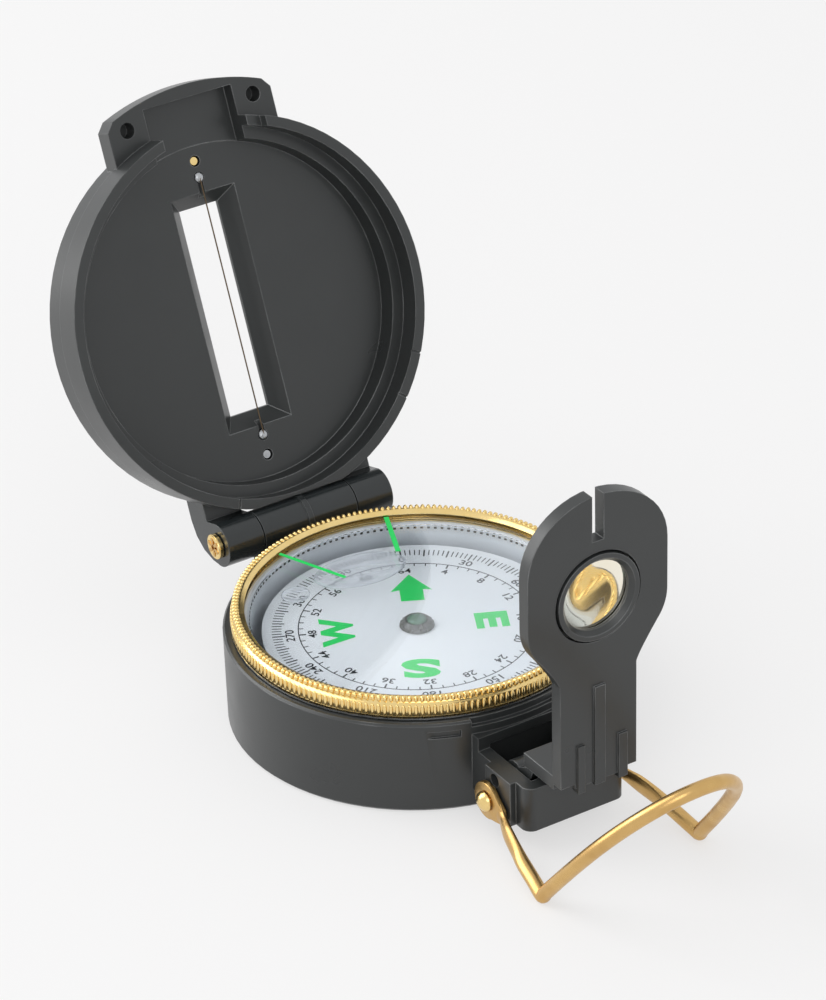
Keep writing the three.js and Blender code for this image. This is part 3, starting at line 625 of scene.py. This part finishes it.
class COMPASS_OT_bezel(bpy.types.Operator):
    """Turns the brass bezel, rolls its two rows of teeth and sets the crystal with its index lines."""

    bl_idname = "compass.bezel"
    bl_label = "Bezel"

    def execute(self, context):
        teeth = context.scene.compass_look.teeth
        ring = lathe([(26.5, 15.5), (27.05, 15.5), (27.1, 15.6), (27.1, 17.3), (26.95, 17.45), (26.7, 17.6),
                      (26.62, 17.75), (26.66, 17.95), (26.6, 18.2), (26.4, 18.36), (26.2, 18.42),
                      (25.9, 18.4), (25.7, 18.3), (25.2, 17.98), (25.2, 17.86), (26.5, 17.86)], 200)
        piece("bezel_turned", from_bmesh("bezel_turned", ring), "brass", "bezel", ("bezel_ring",))
        repeated("bezel_band_teeth", "brass", "bezel", "brass", count=teeth, radius=27.1, height=16.5,
                 size=(0.56, 0.70, 2.0), rounded=True, angle=80)
        repeated("bezel_bead_teeth", "brass", "bezel", "brass", count=teeth, radius=26.48, height=18.16,
                 size=(1.25, 0.76, 1.16), rounded=True, angle=80)
        crystal = dressed("crystal", "clear", "bezel")
        crystal.visible_shadow = False
        dressed("crystal_retainer", "brass", "bezel")
        dressed("index_line_wide", "luminous", "bezel")
        dressed("index_line_narrow", "luminous", "bezel")
        return {"FINISHED"}


class COMPASS_OT_lid(bpy.types.Operator):
    """Finishes the lid and strings its sighting wire between two steel beads."""

    bl_idname = "compass.lid"
    bl_label = "Lid"

    def execute(self, context):
        polish_barrel(dressed("lid_shell", "moulded", "lid"))
        dressed("lid_plug_bottom", "steel", "lid")
        dressed("lid_plug_top", "brass", "lid")
        for node, along in zip(("wire_post_bottom", "wire_post_top"), SIGHT_WIRE):
            bead = lathe([(0, -1.4), (0.62, -1.4), (0.66, 0.0), (0.8, 0.05), (0.74, 0.22), (0.5, 0.36),
                          (0, 0.42)], 24, on_lid(0, 5.6, along))
            piece(node + "_bead", from_bmesh(node, bead), "steel", "lid", (node,), 60)
        reach = SIGHT_WIRE[1] - SIGHT_WIRE[0]
        wire = lathe([(0, 0), (0.11, 0), (0.11, reach), (0, reach)], 12,
                     on_lid(0, 5.3, SIGHT_WIRE[0]) @ Matrix.Rotation(math.radians(-90), 4, "X"))
        piece("sight_wire_strung", from_bmesh("sight_wire", wire), "thread", "lid", ("sight_wire",))
        return {"FINISHED"}


class COMPASS_OT_eyepiece(bpy.types.Operator):
    """Finishes the folding eyepiece, its lens and the lens ring."""

    bl_idname = "compass.eyepiece"
    bl_label = "Eyepiece"

    def execute(self, context):
        dressed("eyepiece_plate", "moulded", "eyepiece")
        dressed("lens_ring", "moulded", "eyepiece")
        lens = dressed("lens", "lens", "eyepiece")
        lens.visible_shadow = False
        return {"FINISHED"}


def loop_route():
    """Half the wire's route on +X, from the eyelet to the top of the bow, with each point's half widths."""
    slope = math.radians(LOOP_SLOPE)
    corners = [((10.1, -36.4, 4.95), 0.42, 1.75), ((10.35, -37.7, 4.65), 0.5, 1.15),
               ((10.8, -39.0, 4.3), 0.62, 1.25), ((11.3, -40.6, 3.9), 0.68, 1.5),
               ((12.0, -43.6, 3.2), 0.8, 1.42), ((12.5, -46.0, 2.6), 1.05, 1.1),
               ((13.0, -49.4, 1.75), WIRE_R, WIRE_R), ((13.3, -51.2, 1.25), WIRE_R, WIRE_R),
               ((13.4, -52.1, 1.12), WIRE_R, WIRE_R)]
    bow = [(13.35, 1.0), (13.25, 2.2), (12.9, 7), (12.1, 13), (10.8, 18.5), (8.4, 23.6), (4.6, 27.75),
           (0, 29.14)]
    y, z = LOOP_CORNER
    return corners + [((x, y - d * math.cos(slope), z + d * math.sin(slope)), WIRE_R, WIRE_R) for x, d in bow]


def curve_through(points, steps):
    """Points on a smooth curve through these, which runs square to x = 0 at its far end."""
    mirrored = points + [tuple([-points[-2][0], *points[-2][1:]])]
    line = [points[0]] + mirrored
    found = []
    for i in range(1, len(points)):
        p0, p1, p2, p3 = (Vector(line[i + k - 1]) for k in range(4))
        for s in range(steps):
            u = s / steps
            found.append(0.5 * (2 * p1 + (p2 - p0) * u + (2 * p0 - 5 * p1 + 4 * p2 - p3) * u * u
                                + (3 * p1 - p0 - 3 * p2 + p3) * u ** 3))
    return found + [Vector(points[-1])]


def wire_loop(sides=18, steps=5):
    """The bent wire with its flattened ends: half of it is swept, and the other half mirrors it."""
    route = loop_route()
    middle = curve_through([p for p, _, _ in route], steps)
    widths = curve_through([(a, b, 0.0) for _, a, b in route], steps)
    across = Vector((1, 0, 0))
    rings = []
    for i, point in enumerate(middle):
        ahead = middle[min(i + 1, len(middle) - 1)] - middle[max(i - 1, 0)]
        if i == len(middle) - 1:
            ahead = Vector((-1, 0, 0))
        ahead.normalize()
        across = (across - across.dot(ahead) * ahead).normalized()
        other = ahead.cross(across)
        ring = []
        for k in range(sides):
            turn = 2 * math.pi * k / sides
            sideways = widths[i][0] * math.cos(turn) * across
            ring.append(point + sideways + widths[i][1] * math.sin(turn) * other)
        rings.append(ring)
    rings += [[Vector((-v.x, v.y, v.z)) for v in ring] for ring in rings[-2::-1]]
    shape = bmesh.new()
    made = [[shape.verts.new(v * MM) for v in ring] for ring in rings]
    for a, b in zip(made, made[1:]):
        for k in range(sides):
            n = (k + 1) % sides
            shape.faces.new((a[k], a[n], b[n], b[k]))
    shape.faces.new(made[0])
    shape.faces.new(made[-1][::-1])
    return shape


def eyelet(side):
    """A pressed eyelet: a flat rounded tab with a hole for the rivet."""
    flat = bpy.data.curves.new("eyelet", "CURVE")
    flat.dimensions = "2D"
    flat.fill_mode = "BOTH"
    flat.extrude = 0.3
    flat.bevel_depth = 0.12
    flat.bevel_resolution = 2
    y, z = LOOP_PIN
    tail = math.radians(194)
    outline = [(y + 2.75 * math.cos(tail + a), z + 2.75 * math.sin(tail + a))
               for a in (math.radians(d) for d in range(48, 313, 12))]
    outline += [(y + r * math.cos(tail + a), z + r * math.sin(tail + a))
                for r, a in ((3.3, -0.50), (3.9, -0.30), (4.3, 0.0), (3.9, 0.30), (3.3, 0.50))]
    turns = [math.radians(d) for d in range(0, 360, 15)]
    hole = [(y + 1.15 * math.cos(a), z + 1.15 * math.sin(a)) for a in turns]
    for points in (outline, hole):
        spline = flat.splines.new("POLY")
        spline.points.add(len(points) - 1)
        for point, (a, b) in zip(spline.points, points):
            point.co = (a, b, 0, 1)
        spline.use_cyclic_u = True
    holder = bpy.data.objects.new("eyelet", flat)
    bpy.context.scene.collection.objects.link(holder)
    bpy.context.view_layer.update()
    mesh = bpy.data.meshes.new_from_object(holder.evaluated_get(bpy.context.evaluated_depsgraph_get()))
    bpy.data.objects.remove(holder)
    upright = Matrix(((0, 0, 1, side * EYELET_X), (1, 0, 0, 0), (0, 1, 0, 0), (0, 0, 0, 1)))
    mesh.transform(Matrix.Scale(MM, 4) @ upright)
    return mesh


class COMPASS_OT_thumb_loop(bpy.types.Operator):
    """Bends the brass thumb loop, with its flattened ends and eyelets."""

    bl_idname = "compass.thumb_loop"
    bl_label = "Thumb loop"

    def execute(self, context):
        piece("thumb_loop_wire", from_bmesh("thumb_loop_wire", wire_loop()), "wire", "thumb_loop",
              ("thumb_loop",), 60)
        for side, name in ((-1, "loop_eyelet_left"), (1, "loop_eyelet_right")):
            shape = bmesh.new()
            shape.from_mesh(eyelet(side))
            bmesh.ops.remove_doubles(shape, verts=shape.verts, dist=2e-6)
            piece(name, from_bmesh(name, shape), "wire", "thumb_loop", angle=40)
        return {"FINISHED"}


class COMPASS_PT_panel(bpy.types.Panel):
    """Lists the compass's parts and settings."""

    bl_label = "Compass"
    bl_idname = "COMPASS_PT_panel"
    bl_space_type = "VIEW_3D"
    bl_region_type = "UI"
    bl_category = "Compass"

    def draw(self, context):
        for name in CompassLook.__annotations__:
            self.layout.prop(context.scene.compass_look, name)
        for operator in OPERATORS:
            self.layout.operator(operator.bl_idname)


OPERATORS = (COMPASS_OT_stage, COMPASS_OT_case, COMPASS_OT_dial, COMPASS_OT_bezel, COMPASS_OT_lid,
             COMPASS_OT_eyepiece, COMPASS_OT_thumb_loop)
CLASSES = (CompassLook, *OPERATORS, COMPASS_PT_panel)
FINISHES = {}


def register():
    for cls in CLASSES:
        bpy.utils.register_class(cls)
    bpy.types.Scene.compass_look = PointerProperty(type=CompassLook)


def unregister():
    del bpy.types.Scene.compass_look
    for cls in reversed(CLASSES):
        bpy.utils.unregister_class(cls)


def main():
    register()
    FINISHES.update(make_finishes())
    for operator in OPERATORS:
        group, name = operator.bl_idname.split(".")
        getattr(getattr(bpy.ops, group), name)()


if __name__ == "__main__":
    main()
